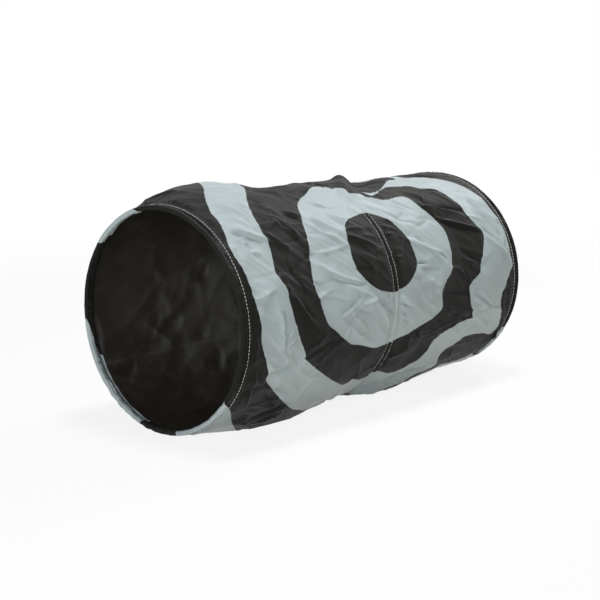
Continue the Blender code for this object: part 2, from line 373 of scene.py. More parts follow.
def ripple(arc, spacing, seed):  # smooth random waves round the hoop, about -1 to 1
    number = max(4, int(clothRound / spacing))
    heights = np.random.default_rng(seed).uniform(-1, 1, number)
    spot = (arc / clothRound) % 1 * number
    low = np.floor(spot).astype(int)
    t = smooth(spot - low)
    return heights[low % number] * (1 - t) + heights[(low + 1) % number] * t


# The cloth's grid from the lengthwise seam round, and its rows, closer at the stitching:
# start, end and number of steps
coverGrid = {
    "columns": ((clothStart, -25, 100), (-25, 135, 320), (135, clothStart + 360, 100)),
    "rows": ((0, 8, 12), (8, 20, 8), (20, 220, 118), (220, coverEnd, 12)),
}


def gridRows():
    half = [0.0]
    for start, end, steps in coverGrid["rows"]:
        half += [start + (end - start) * step / steps for step in range(1, steps + 1)]
    return np.array([-row for row in half[:0:-1]] + half)


def gridAngles():
    found = []
    for start, end, steps in coverGrid["columns"]:
        found += [start + (end - start) * step / steps for step in range(steps)]
    return np.array(found)


def gridNormals(points):  # outward, from the grid's own neighbours
    roundWay = np.roll(points, -1, 1) - np.roll(points, 1, 1)
    normal = np.cross(np.gradient(points, axis=0), roundWay)
    normal /= np.linalg.norm(normal, axis=-1, keepdims=True) + 1e-12
    centre = points[:, :1] * 0
    centre[..., 1] = points[:, :1, 1]
    centre[..., 2] = sleeve["rimRadius"]
    return normal * np.sign(((points - centre) * normal).sum((0, 1, 2)))


channel = {  # the sewn channel over the middle hoop, in mm
    "bulge": 1.1,
    "groove": (0.7, 0.25),  # depth at the stitches, and how much it varies
    "grooveWidth": 0.8,
    "pinch": 0.45,  # puckers across the rows
    "pinchReach": 2.8,
    "pinchSpacing": 5,
    "edge": (6.2, 0.25, 2.2),  # the tape's edge under the cloth: place, height, reach
}
seam = {  # the felled seam along the sleeve, in mm
    "row": 2.6,  # from its middle to each row of stitches
    "height": 0.55,
    "halfWidth": 4.2,
    "groove": 0.3,
    "grooveWidth": 0.8,
}


def channelRelief(along, angle):
    off, arc = np.abs(along), angle * arcPerDegree
    fromRow = off - sleeve["tapeRow"]
    spacing = channel["pinchSpacing"]
    depth, varied = channel["groove"]
    bulge = channel["bulge"] * window(off, sleeve["tapeRow"])
    groove = np.exp(-((fromRow / channel["grooveWidth"]) ** 2)) * (depth + varied * ripple(arc, spacing, 3))
    puckers = ripple(arc + 0.5 * along, spacing, 9)
    pinched = channel["pinch"] * window(fromRow, channel["pinchReach"]) * puckers
    place, height, reach = channel["edge"]
    return bulge - groove + height * window(off - place, reach) + pinched


def seamRelief(along, angle):
    off = np.abs(turned(angle - clothStart)) * arcPerDegree
    flat = seam["height"] / (1 + np.exp(np.clip((off - seam["halfWidth"]) / 0.5, -30, 30)))
    groove = seam["groove"] * np.exp(-(((off - seam["row"]) / seam["grooveWidth"]) ** 2))
    return (flat - groove) * window(np.abs(along), 400)


def makeSleeve():
    along, angle = np.meshgrid(gridRows(), gridAngles(), indexing="ij")
    points = sleeveSurface(along, angle)
    off = np.abs(along)
    relief = pressCreases(along, angle, creases + scatteredCreases()) + facetRelief(along, angle)
    start, reach = creaseShape["channelFade"]
    relief *= smooth(np.clip((coverEnd - off) / creaseShape["hemFade"], 0, 1))
    relief *= smooth(np.clip((off - start) / reach, 0, 1))
    relief += channelRelief(along, angle) + seamRelief(along, angle) * np.clip((off - 6) / 3, 0, 1)
    points = points + gridNormals(points) * relief[..., None]
    points[..., 2] = np.maximum(points[..., 2], 0)
    return along, angle, points, relief


def lowestAround(relief):  # each point's lowest neighbour
    padded = np.pad(relief, ((1, 1), (0, 0)), mode="edge")
    low = np.minimum(np.minimum(padded[:-2], padded[2:]), relief)
    return np.minimum(np.minimum(np.roll(low, 1, 1), np.roll(low, -1, 1)), low)


clothAlong, clothAngle, clothPoints, clothRelief = makeSleeve()
clothNormals = gridNormals(clothPoints)
reverseDepth = sleeve["cloth"] + clothRelief - lowestAround(clothRelief)
reversePoints = clothPoints - clothNormals * reverseDepth[..., None]
print("sleeve shaped")

# Printed rings, from the dark centre outwards: outlines as (mm along, degrees)
printOutlines = [
    [(-54, 46.5), (-39, 42), (-7, 39), (15, 41.5), (31, 49), (41, 58.5), (44, 67), (42.5, 72),
     (24.5, 80), (4, 83.6), (-8.5, 84), (-35, 81), (-56.5, 73), (-65, 64), (-61.5, 54.5)],
    [(-7, 10.5), (-3, 14.5), (5, 13.5), (14, 12.5), (15.5, 15), (10, 20), (9, 22.5), (14, 24),
     (19.5, 26), (24.5, 28.5), (35, 30.5), (47, 32), (60, 31.5), (74, 31), (86, 31), (91.5, 33),
     (96, 37.5), (113, 45.5), (122, 53), (122.5, 60), (111, 77), (94, 83.5), (85, 88.5), (87, 97.5),
     (65.5, 103), (31, 107.5), (5, 111), (-28, 112), (-58.5, 108.5), (-78, 106), (-107.5, 97),
     (-123, 90.5), (-132, 71.5), (-119, 52), (-108.5, 37.5), (-91.5, 26), (-40.5, 13.5)],
    [(-85, -18), (-110, -8), (-136, 7.5), (-158, 18), (-177, 29), (-181.5, 40), (-181.5, 48),
     (-183.5, 55.5), (-188, 64), (-179.5, 72.5), (-177.5, 79), (-166, 96), (-151, 106.5), (-151, 108.5),
     (-102, 123), (-63, 133), (-48.5, 136), (-40, 132.5), (-16.5, 136), (-2, 132), (35.5, 135),
     (70, 129.5), (81, 124), (92, 115), (119, 110), (152, 107.5), (150, 105.5), (143.5, 95.5),
     (142, 88.5), (162, 83), (169, 76), (186.5, 62), (180, 56), (174, 49), (174, 39.5), (160, 27.5),
     (128.5, 24), (119.5, 22), (100, 20), (86, 20), (73.5, 21), (61, 23.5), (48.5, 26), (40, 27),
     (34, 26.5), (28.5, 23), (24, 14), (30, 0), (28, -16), (10, -24), (-50, -24)],
    [(-175.5, -4), (-206.5, 12), (-220, 22), (-225, 32), (-229.5, 39.5), (-234, 48), (-231, 62.5),
     (-229.5, 71.5), (-227.5, 79), (-225, 86), (-220.5, 98.5), (-205, 112), (-204, 116), (-171, 129),
     (-134, 141), (-106, 147.5), (-60, 155), (-20, 159), (19, 158), (40, 155), (58, 151.5), (80, 147),
     (97, 143), (113, 143), (126, 143), (130, 139), (122, 132.5), (129, 126), (152, 121), (176, 120.5),
     (200, 122), (215, 124), (224, 123), (228.5, 118), (217, 107.5), (213, 103.5), (212.5, 96.5),
     (223, 88.5), (236, 81.5), (233.5, 75.5), (235, 68), (235.5, 57.5), (229.5, 47.5), (227, 36.5),
     (222, 28), (207.5, 18), (191.5, 12), (173.5, 7.5), (173, 3), (168, -8), (150, -22), (110, -36),
     (66, -44), (35, -50), (-10, -54), (-60, -52), (-110, -42), (-150, -22)],
    [(252, 116), (243, 121), (236, 126), (233, 130), (235, 136), (235, 142), (228, 145), (218, 142),
     (210, 141), (204, 145), (190, 146.5), (176, 145.5), (160, 145), (146, 144.5), (125, 150),
     (90, 159), (60, 167), (0, 177), (-60, 180), (-120, 175), (-170, 163), (-195, 154), (-215, 145),
     (-236, 133), (-252, 127), (-272, 122), (-290, 95), (-298, 55), (-285, 15), (-250, -18),
     (-200, -42), (-150, -56), (-80, -68), (-10, -72), (50, -66), (110, -54), (175, -36), (235, -18),
     (270, 5), (295, 45), (295, 85), (275, 106)],
    [(300, 138), (250, 152), (200, 166), (120, 182), (60, 194), (0, 200), (-80, 200), (-150, 192),
     (-210, 178), (-250, 169), (-310, 160), (-345, 90), (-345, 20), (-310, -30), (-250, -52),
     (-190, -70), (-120, -84), (-40, -92), (30, -90), (90, -80), (150, -66), (210, -50), (250, -38),
     (310, -10), (345, 50), (340, 100)],
    [(330, 158), (250, 178), (190, 194), (120, 210), (50, 221), (-20, 224), (-90, 218), (-160, 208),
     (-250, 196), (-330, 186), (-390, 110), (-390, 0), (-330, -90), (-275, -115), (-263, -114),
     (-257.5, -107), (-254.5, -99), (-249, -95), (-236, -97), (-200, -98), (-150, -108), (-90, -112),
     (0, -112), (80, -104), (160, -90), (250, -72), (330, -40), (390, 20), (390, 110)],
    [(400, 190), (250, 204), (190, 222), (150, 250), (100, 290), (-100, 290), (-160, 270), (-200, 258),
     (-250, 250), (-400, 240), (-480, 100), (-480, 0), (-400, -110), (-250, -126), (-190, -136),
     (-100, -160), (100, -160), (180, -122), (250, -100), (400, -70), (480, 0), (480, 100)],
]
# Where the dark runs across the third ring, behind the ridge
printBreak = [(29.5, 22.5), (35, 24), (41, 25), (49, 24.5), (59, 23), (79, 18.5), (101, 13), (125, 7.5),
              (141, 4.5), (138, -4), (128, -14), (105, -24), (75, -30), (40, -30), (20, -20), (18, 4),
              (22, 16)]
printField = {"step": 2.0, "alongs": (-282.0, 282.0), "angles": (-121.0, 241.0)}


def closedCurve(points, steps=6):  # smooth closed outline through the points
    corner = np.array([(u, v * arcPerDegree) for u, v in points], float)
    before, after, later = np.roll(corner, 1, 0), np.roll(corner, -1, 0), np.roll(corner, -2, 0)
    made = []
    for step in range(steps):
        t = step / steps
        bend = (2 * before - 5 * corner + 4 * after - later) * t**2
        twist = (3 * corner - before - 3 * after + later) * t**3
        made.append(0.5 * (2 * corner + (after - before) * t + bend + twist))
    return np.stack(made, 1).reshape(-1, 2)


def signedDistance(outlines):  # mm to the nearest outline, positive inside an odd number of them
    first, last = (angle * arcPerDegree for angle in printField["angles"])
    u = np.arange(*printField["alongs"], printField["step"])
    v = np.arange(first, last, printField["step"])
    gridU, gridV = np.meshgrid(u, v, indexing="ij")
    best = np.full(gridU.shape, 1e9)
    inside = np.zeros(gridU.shape, int)
    for outline in outlines:
        curve = closedCurve(outline)
        for start, end in zip(curve, np.roll(curve, -1, 0)):
            step = end - start
            length = max(float(step @ step), 1e-9)
            t = np.clip(((gridU - start[0]) * step[0] + (gridV - start[1]) * step[1]) / length, 0, 1)
            away = (gridU - start[0] - t * step[0]) ** 2 + (gridV - start[1] - t * step[1]) ** 2
            best = np.minimum(best, away)
            crosses = (start[1] > gridV) != (end[1] > gridV)
            if abs(step[1]) > 1e-9:
                inside += crosses & (gridU < start[0] + (gridV - start[1]) * step[0] / step[1])
    return np.where(inside % 2 == 1, 1, -1) * np.sqrt(best)


printGrid = np.minimum(signedDistance(printOutlines), -signedDistance([printBreak]))


def printAt(u, angle):  # read the print's field anywhere on the flat cloth
    step = printField["step"]
    v = ((angle - clothStart) % 360 + clothStart) * arcPerDegree
    row = np.clip((u - printField["alongs"][0]) / step, 0, printGrid.shape[0] - 1.001)
    column = np.clip((v - printField["angles"][0] * arcPerDegree) / step, 0, printGrid.shape[1] - 1.001)
    i, j = row.astype(int), column.astype(int)
    a, b = row - i, column - j
    near = printGrid[i, j] * (1 - a) + printGrid[i + 1, j] * a
    far = printGrid[i, j + 1] * (1 - a) + printGrid[i + 1, j + 1] * a
    return near * (1 - b) + far * b


print("print laid out")


def linear(hexCode):  # sRGB hex to Blender's linear colour
    channels = [int(hexCode[at:at + 2], 16) / 255 for at in (1, 3, 5)]
    return (*[c / 12.92 if c <= 0.04045 else ((c + 0.055) / 1.055) ** 2.4 for c in channels], 1.0)


def addNode(tree, kind, sockets=None, **settings):  # one node, with its settings and links
    node = tree.nodes.new(kind)
    for name, value in settings.items():
        setattr(node, name, value)
    for name, value in (sockets or {}).items():
        if isinstance(value, bpy.types.NodeSocket):
            tree.links.new(value, node.inputs[name])
        else:
            node.inputs[name].default_value = value
    return node


def startMaterial(name, roughness, sockets=None):
    material = bpy.data.materials.new(name)
    material.use_nodes = True
    tree = material.node_tree
    shader = tree.nodes["Principled BSDF"]
    shader.inputs["Roughness"].default_value = roughness
    for socket, value in (sockets or {}).items():
        shader.inputs[socket].default_value = value
    return material, tree, shader


def dressShader(tree, shader, pattern, colours, roughness=None, relief=None):
    # The pattern mixes the colours and may vary the roughness; relief is height, metres, strength
    dark, light = (linear(colour) for colour in colours)
    mixed = addNode(tree, "ShaderNodeMix", {0: pattern, 6: dark, 7: light}, data_type="RGBA")
    tree.links.new(mixed.outputs[2], shader.inputs["Base Color"])
    if roughness:
        ends = {"Value": pattern, "To Min": roughness[0], "To Max": roughness[1]}
        tree.links.new(addNode(tree, "ShaderNodeMapRange", ends).outputs[0], shader.inputs["Roughness"])
    if relief:
        sockets = dict(zip(("Height", "Distance", "Strength"), relief))
        tree.links.new(addNode(tree, "ShaderNodeBump", sockets).outputs[0], shader.inputs["Normal"])


clothLook = {
    "lightInk": "#acb8bb",
    "darkInk": "#161614",
    "threadMm": 0.9,  # drawn coarser than the real 0.25 mm, so that it shows
    "lightRoughness": 0.3,
    "darkRoughness": 0.56,  # the dark pigment lies thicker and dulls the satin
    "finish": {"Sheen Weight": 0.06, "Sheen Roughness": 0.35, "Specular IOR Level": 0.1},
    "raggedMm": 2.4,  # how far the print's edge wanders
    "edgeSharpness": 2.5,  # per mm
}


def weaveHeight(tree, flat):  # plain weave: threads over and under
    split = addNode(tree, "ShaderNodeSeparateXYZ", {0: flat})
    threads = []
    for axis in (0, 1):
        turns = {0: split.outputs[axis], 1: math.tau / clothLook["threadMm"]}
        angle = addNode(tree, "ShaderNodeMath", turns, operation="MULTIPLY").outputs[0]
        threads.append(addNode(tree, "ShaderNodeMath", {0: angle}, operation="SINE").outputs[0])
    return addNode(tree, "ShaderNodeMath", {0: threads[0], 1: threads[1]}, operation="MULTIPLY").outputs[0]


def printedTaffeta():  # smooth woven polyester, pigment print: satin sheen on every crease
    look = clothLook
    name, rough = "printed polyester taffeta", look["lightRoughness"]
    material, tree, shader = startMaterial(name, rough, look["finish"])
    flat = addNode(tree, "ShaderNodeAttribute", attribute_name="clothFlat").outputs["Vector"]
    edge = addNode(tree, "ShaderNodeAttribute", attribute_name="printEdge").outputs["Fac"]
    bleed = {"Vector": flat, "Scale": 0.45, "Detail": 2.0}
    noise = addNode(tree, "ShaderNodeTexNoise", bleed).outputs["Fac"]
    wander = {0: noise, 1: look["raggedMm"], 2: edge}
    ragged = addNode(tree, "ShaderNodeMath", wander, operation="MULTIPLY_ADD").outputs[0]
    centred = 0.5 - look["edgeSharpness"] * look["raggedMm"] / 2  # the noise lies about 0.5
    light = addNode(
        tree, "ShaderNodeMath", {0: ragged, 1: look["edgeSharpness"], 2: centred},
        operation="MULTIPLY_ADD", use_clamp=True,
    ).outputs[0]
    dark, pale = linear(look["darkInk"]), linear(look["lightInk"])
    ink = addNode(tree, "ShaderNodeMix", {0: light, 6: dark, 7: pale}, data_type="RGBA").outputs[2]
    blotches = {"Vector": flat, "Scale": 0.02, "Detail": 3.0}
    cloud = addNode(tree, "ShaderNodeTexNoise", blotches).outputs["Fac"]
    ends = {"Value": cloud, "To Min": 0.93, "To Max": 1.06}
    shade = addNode(tree, "ShaderNodeMapRange", ends).outputs[0]
    tone = addNode(tree, "ShaderNodeCombineColor", {0: shade, 1: shade, 2: shade}).outputs[0]
    colour = addNode(
        tree, "ShaderNodeMix", {0: 1.0, 6: ink, 7: tone}, data_type="RGBA", blend_type="MULTIPLY",
    ).outputs[2]
    tree.links.new(colour, shader.inputs["Base Color"])
    ends = {"Value": light, "To Min": look["darkRoughness"], "To Max": look["lightRoughness"]}
    gloss = addNode(tree, "ShaderNodeMapRange", ends).outputs[0]
    rough = addNode(tree, "ShaderNodeMath", {0: gloss, 1: shade}, operation="MULTIPLY").outputs[0]
    tree.links.new(rough, shader.inputs["Roughness"])
    weave = {"Height": weaveHeight(tree, flat), "Distance": 0.00004, "Strength": 1.0}
    fine = addNode(tree, "ShaderNodeBump", weave).outputs[0]
    stretched = addNode(tree, "ShaderNodeMapping", {"Vector": flat, "Scale": (0.5, 1.0, 1.0)})
    ridges = {"Vector": stretched.outputs[0], "Scale": 0.04, "Detail": 3.0, "Roughness": 0.55}
    crumple = addNode(tree, "ShaderNodeTexNoise", ridges, noise_type="RIDGED_MULTIFRACTAL").outputs["Fac"]
    wide = {"Height": crumple, "Distance": 0.0015, "Strength": 1.0, "Normal": fine}
    tree.links.new(addNode(tree, "ShaderNodeBump", wide).outputs[0], shader.inputs["Normal"])
    return material


def blackReverse():  # the coated wrong side of the same cloth: black and a little glossy
    material, tree, shader = startMaterial("black coated cloth reverse", 0.36, {"IOR": 1.5})
    flat = addNode(tree, "ShaderNodeAttribute", attribute_name="clothFlat").outputs["Vector"]
    cloud = addNode(tree, "ShaderNodeTexNoise", {"Vector": flat, "Scale": 0.03, "Detail": 4.0})
    relief = (weaveHeight(tree, flat), 0.00003, 1.0)
    dressShader(tree, shader, cloud.outputs["Fac"], ("#221f1a", "#33302a"), (0.28, 0.44), relief)
    return material


def blackTape():  # woven polyester tape: fine cross ribs, matt black
    material, tree, shader = startMaterial("woven polyester tape", 0.62, {"IOR": 1.5})
    flat = addNode(tree, "ShaderNodeAttribute", attribute_name="clothFlat").outputs["Vector"]
    split = addNode(tree, "ShaderNodeSeparateXYZ", {0: flat})
    turns = {0: split.outputs[1], 1: math.tau / 1.1}  # a rib each 1.1 mm
    angle = addNode(tree, "ShaderNodeMath", turns, operation="MULTIPLY").outputs[0]
    ribs = addNode(tree, "ShaderNodeMath", {0: angle}, operation="SINE").outputs[0]
    cloud = addNode(tree, "ShaderNodeTexNoise", {"Vector": flat, "Scale": 0.4, "Detail": 3.0})
    dressShader(tree, shader, cloud.outputs["Fac"], ("#1a191b", "#262528"), relief=(ribs, 0.00012, 1.0))
    return material


def sewingThread(name, dark, light):  # spun polyester thread, twisted, a little fuzzy
    material, tree, shader = startMaterial(name, 0.6, {"Sheen Weight": 0.2})
    place = addNode(tree, "ShaderNodeTexCoord").outputs["Object"]
    fibre = addNode(tree, "ShaderNodeTexNoise", {"Vector": place, "Scale": 2500.0, "Detail": 2.0})
    fuzz = fibre.outputs["Fac"]
    dressShader(tree, shader, fuzz, (dark, light), relief=(fuzz, 0.0001, 0.7))
    return material


def springSteel():  # hard-drawn wire: grey, slightly uneven, a trace of oil
    material, tree, shader = startMaterial("hard-drawn spring steel", 0.32, {"Metallic": 1.0})
    place = addNode(tree, "ShaderNodeTexCoord").outputs["Object"]
    cloud = addNode(tree, "ShaderNodeTexNoise", {"Vector": place, "Scale": 180.0, "Detail": 4.0})
    dressShader(tree, shader, cloud.outputs["Fac"], ("#75767a", "#9b9ca0"), (0.24, 0.42))
    return material


def zincSteel():  # zinc-plated tube, pressed: pale, slightly blue, spangled
    material, tree, shader = startMaterial("zinc-plated steel", 0.3, {"Metallic": 1.0})
    place = addNode(tree, "ShaderNodeTexCoord").outputs["Object"]
    grain = addNode(tree, "ShaderNodeTexVoronoi", {"Vector": place, "Scale": 900.0}).outputs["Distance"]
    dressShader(tree, shader, grain, ("#a9adb2", "#c5c8cb"), (0.22, 0.38))
    return material


printedCloth, reverseCloth, tapeCloth = printedTaffeta(), blackReverse(), blackTape()
thread = sewingThread("pale polyester thread", "#b4b7b4", "#dcdedb")
bobbinThread = sewingThread("black polyester thread", "#161517", "#29282a")  # the rows inside
wireSteel, crimpZinc = springSteel(), zincSteel()
print("materials made")


def meshPiece(name, points, faceSets, materials, faceMaterials=None, sharp=50):  # points in mm
    mesh = bpy.data.meshes.new(name)
    points = np.asarray(points, float)
    corners = np.concatenate([faces.ravel() for faces in faceSets])
    sizes = np.concatenate([np.full(len(faces), faces.shape[1]) for faces in faceSets])
    mesh.vertices.add(len(points))
    mesh.vertices.foreach_set("co", (points * 0.001).astype(np.float32).ravel())
    mesh.loops.add(len(corners))
    mesh.loops.foreach_set("vertex_index", corners.astype(np.int32))
    mesh.polygons.add(len(sizes))
    mesh.polygons.foreach_set("loop_start", (np.cumsum(sizes) - sizes).astype(np.int32))
    for material in materials:
        mesh.materials.append(material)
    if faceMaterials is not None:
        mesh.polygons.foreach_set("material_index", np.asarray(faceMaterials, np.int32))
    mesh.update()
    mesh.validate()
    mesh.shade_smooth()
    mesh.set_sharp_from_angle(angle=math.radians(sharp))
    piece = bpy.data.objects.new(name, mesh)
    bpy.context.scene.collection.objects.link(piece)
    return piece


def paintCloth(piece, along, angle):  # the attributes that the cloth's materials read
    u, v = along.ravel(), angle.ravel()
    flat = piece.data.attributes.new("clothFlat", "FLOAT_VECTOR", "POINT")
    flat.data.foreach_set("vector", np.stack([u, v * arcPerDegree, 0 * u], -1).astype(np.float32).ravel())
    edges = piece.data.attributes.new("printEdge", "FLOAT", "POINT")
    edges.data.foreach_set("value", printAt(u, v).astype(np.float32))


def tubeFaces(rows, columns, start=0, flipped=False, closed=False):  # quads of a grid that goes round
    i, j = np.meshgrid(np.arange(rows if closed else rows - 1), np.arange(columns), indexing="ij")
    here, there = start + i * columns, start + (i + 1) % rows * columns
    beside = (j + 1) % columns
    quads = np.stack([here + j, here + beside, there + beside, there + j], -1).reshape(-1, 4)
    return quads[:, ::-1] if flipped else quads


def makeCover(name, side):
    kept = np.flatnonzero(clothAlong[:, 0] * side >= 0)
    outer = clothPoints[kept]
    inner = reversePoints[kept][::2, ::2]  # the reverse has half the rows and columns
    rows, columns = outer.shape[:2]
    innerRows, innerColumns = inner.shape[:2]
    count = rows * columns
    points = np.concatenate([outer.reshape(-1, 3), inner.reshape(-1, 3)])
    outside, inside = tubeFaces(rows, columns), tubeFaces(innerRows, innerColumns, count, flipped=True)
    j = np.arange(innerColumns)
    k = (j + 1) % innerColumns
    last, innerLast = count - columns, count + (innerRows - 1) * innerColumns
    following = (2 * j + 2) % columns
    rims = np.concatenate([
        np.stack([following, 2 * j + 1, 2 * j, count + j, count + k], -1),
        np.stack([last + 2 * j, last + 2 * j + 1, last + following, innerLast + k, innerLast + j], -1),
    ])
    kinds = np.concatenate([np.zeros(len(outside)), np.ones(len(inside)), np.zeros(len(rims))])
    piece = meshPiece(name, points, [outside, inside, rims], [printedCloth, reverseCloth], kinds)
    flat = [
        np.concatenate([grid[kept].ravel(), grid[kept][::2, ::2].ravel()])
        for grid in (clothAlong, clothAngle)
    ]
    paintCloth(piece, *flat)
    return piece


frontCover = makeCover("frontSleeve", -1)
rearCover = makeCover("rearSleeve", 1)
print("sleeve halves made")

hemSizes = {  # in mm
    "columns": 704,
    "rollSteps": 14,
    "rollTurn": (90, 262),  # degrees round the wire
    "puckered": (6.3, 5.6),  # middle and reach of the cloth between wire and stitches
    "pucker": 0.8,
    "puckers": [(6.5, 0.9, 0.8), (4.1, -0.6, 0.7), (11.0, 0.4, 0.7)],  # spacing, lean, share of the height
    "gather": 0.8,  # where the cloth is gathered at the bottom
    "gatherSpacing": 7.5,
    "pleat": 0.6,  # the ridges along the hem
    "pleatSpacing": 3.3,
    "dimple": (0.5, 1.1),  # at the stitches: depth and width
    "bottomWave": (0.35, 6.0, 1.5, 4.0),  # height and spacing, middle and reach from the mouth
    "edge": (0.22, 12.4, 1.3),  # the cut edge under the outer layer: height, middle, reach
    "puff": (0.7, 6.5, 3.6),  # how far the inner layer stands off: height, middle, reach
    "innerEdge": (0.6, 13.5, 2.2),  # and at its cut edge
    "mouthWander": (0.3, 0.2, 0.7),  # of the mouth's line: long waves, short ones, more at the bottom
    "seeds": {-1: 31, 1: 47},
}


def stripOutline(path, thickness):  # both faces of a strip that follows an open path
    path = np.array(path, float)
    step = np.diff(path, axis=0)
    step /= np.linalg.norm(step, axis=1, keepdims=True)
    mean = np.vstack([step[:1], step[:-1] + step[1:], step[-1:]])
    mean /= np.linalg.norm(mean, axis=1, keepdims=True)
    across = np.stack([-mean[:, 1], mean[:, 0]], -1) * thickness / 2
    return np.vstack([path + across, (path - across)[::-1]])


def hemPath():  # the cloth's middle line as (mm from the mouth, radius in mm)
    outer = sleeve["rimRadius"] - sleeve["cloth"] / 2
    inner = outer - sleeve["cloth"] - sleeve["hemGap"]
    roll = sleeve["rollRadius"]
    loop = roll - sleeve["cloth"] / 2
    depths = np.linspace(sleeve["hemDepth"] + sleeve["hemOverlap"], roll + 0.6, 14)
    path = [(depth, outer) for depth in depths]
    for turn in np.radians(np.linspace(*hemSizes["rollTurn"], hemSizes["rollSteps"])):
        path.append((roll + loop * math.cos(turn), sleeve["rimRadius"] - roll + loop * math.sin(turn)))
    start, end = path[-1], (sleeve["hemStitchDepth"] - 0.8, inner)
    for t in np.linspace(0, 1, 9)[1:]:
        drop = 0.35 * t + 0.65 * smooth(t)
        path.append((start[0] + (end[0] - start[0]) * t, start[1] + (end[1] - start[1]) * drop))
    return path + [(depth, inner) for depth in (sleeve["hemStitchDepth"], 11.4, 12.4, sleeve["hemDepth"])]


def lowShare(angle):  # 1 at the bottom, 0 from the sides up
    return np.clip((-np.cos(np.radians(angle)) - 0.45) / 0.35, 0, 1)


def hemRelief(depth, radius, angle, side):  # puckers that the stitches pull into the hem
    sizes, seed = hemSizes, hemSizes["seeds"][side]
    arc, low = angle * arcPerDegree, lowShare(angle)
    middle, reach = sizes["puckered"]
    between = window(depth - middle, reach)
    relief = between * low * sizes["gather"] * ripple(arc + 0.9 * depth, sizes["gatherSpacing"], seed)
    for spacing, lean, share in sizes["puckers"]:
        ridges = 0.5 - 2 * np.abs(ripple(arc + lean * depth, spacing, seed + int(spacing)))
        relief += between * sizes["pucker"] * share * ridges
    pleats = np.cos(math.tau * depth / sizes["pleatSpacing"]) * (1 + ripple(arc, 24, seed + 4))
    relief += between * sizes["pleat"] * pleats
    height, spacing, middle, reach = sizes["bottomWave"]
    relief += low * height * ripple(arc, spacing, seed + 2) * window(depth - middle, reach)
    outerLayer = radius > sleeve["rimRadius"] - sleeve["cloth"] - 0.4
    height, width = sizes["dimple"]
    relief -= outerLayer * height * np.exp(-(((depth - sleeve["hemStitchDepth"]) / width) ** 2))
    height, middle, reach = sizes["edge"]
    relief += outerLayer * height * window(depth - middle, reach)
    innerLayer = radius < sleeve["rimRadius"] - sleeve["cloth"] - 0.5
    height, middle, reach = sizes["puff"]
    relief -= innerLayer * height * (1 + 0.8 * ripple(arc, 13, seed + 5)) * window(depth - middle, reach)
    height, middle, reach = sizes["innerEdge"]
    relief -= innerLayer * height * (1 + ripple(arc, 9, seed + 6)) * window(depth - middle, reach)
    return relief


def makeHem(name, side):
    path = np.array(hemPath())
    outline = stripOutline(path, sleeve["cloth"])
    walked = np.concatenate([[0], np.cumsum(np.linalg.norm(np.diff(path, axis=0), axis=1))])
    walked = np.concatenate([walked, walked[::-1]])
    angles = np.arange(hemSizes["columns"]) * 360 / hemSizes["columns"] + clothStart
    depth, angle = np.meshgrid(outline[:, 0], angles, indexing="ij")
    radius = np.repeat(outline[:, 1:2], len(angles), 1)
    radius = radius + hemRelief(depth, radius, angle, side)
    arc, seed = angle * arcPerDegree, hemSizes["seeds"][side]
    long, short, low = hemSizes["mouthWander"]
    gathers = (short + low * lowShare(angle)) * ripple(arc, 4.6, seed + 8)
    shift = (long * ripple(arc, 26, seed + 3) + gathers) * window(depth, 9)
    inward = np.maximum(depth + shift, 0.02)
    points = roundHoop(radius, side * (sleeve["halfLength"] - inward), angle, sleeve["rimRadius"])
    rows, columns = depth.shape
    faces = tubeFaces(rows, columns, flipped=side > 0, closed=True)
    kinds = np.repeat(np.arange(rows) < len(path), columns)  # the strip's first face is the wrong side
    piece = meshPiece(name, points.reshape(-1, 3), [faces], [printedCloth, reverseCloth], kinds)
    paintCloth(piece, side * (coverEnd + np.repeat(walked[:, None], columns, 1)), angle)
    return piece


frontHem = makeHem("frontHem", -1)
rearHem = makeHem("rearHem", 1)
print("hems made")

tapeSizes = {  # in mm
    "thickness": 0.6,
    "depth": 0.38,  # its middle under the cloth's inner face
    "loopDepth": 2.0,  # the wire's middle under the same face
    "loop": (2.35, 1.15),  # radius round the wire, and how much wider it is
    "loopTurn": (196, 344),  # degrees
}


def makeTape():  # the tape inside, over the middle hoop
    base = sleeve["middleRadius"] - sleeve["cloth"]
    flat = base - tapeSizes["depth"]
    flats = (sleeve["tapeWidth"] / 2, 5.6, 4.6, sleeve["tapeRow"])
    loop, wider = tapeSizes["loop"]
    path = [(-off, flat) for off in flats]
    for turn in np.radians(np.linspace(*tapeSizes["loopTurn"], 13)):
        path.append((loop * math.cos(turn) * wider, base - tapeSizes["loopDepth"] + loop * math.sin(turn)))
    path += [(off, flat) for off in reversed(flats)]
    outline = stripOutline(path, tapeSizes["thickness"])
    angles = np.arange(hemSizes["columns"] // 2) * 720 / hemSizes["columns"] + clothStart
    off, angle = np.meshgrid(outline[:, 0], angles, indexing="ij")
    wave = 0.15 * ripple(angle * arcPerDegree, 9, 61) * window(off, 5)
    pressed = np.minimum(0, channelRelief(off, angle)) - 0.15
    radius = np.repeat(outline[:, 1:2], len(angles), 1) + pressed + wave
    points = roundHoop(radius, off, angle, sleeve["middleRadius"])
    faces = tubeFaces(*off.shape, closed=True)
    piece = meshPiece("middleTape", points.reshape(-1, 3), [faces], [tapeCloth])
    paintCloth(piece, off, angle)
    return piece


middleTape = makeTape()
print("tape made")

stitchSizes = {"Pitch": 0.0040, "Stitch Length": 0.0032, "Thread Width": 0.0009, "Lean": 0.16, "Seed": 5}
stitchLift = {"hem": 0.12, "tape": 0.1, "seam": 0.32, "floor": 0.3}  # mm off the cloth and the floor


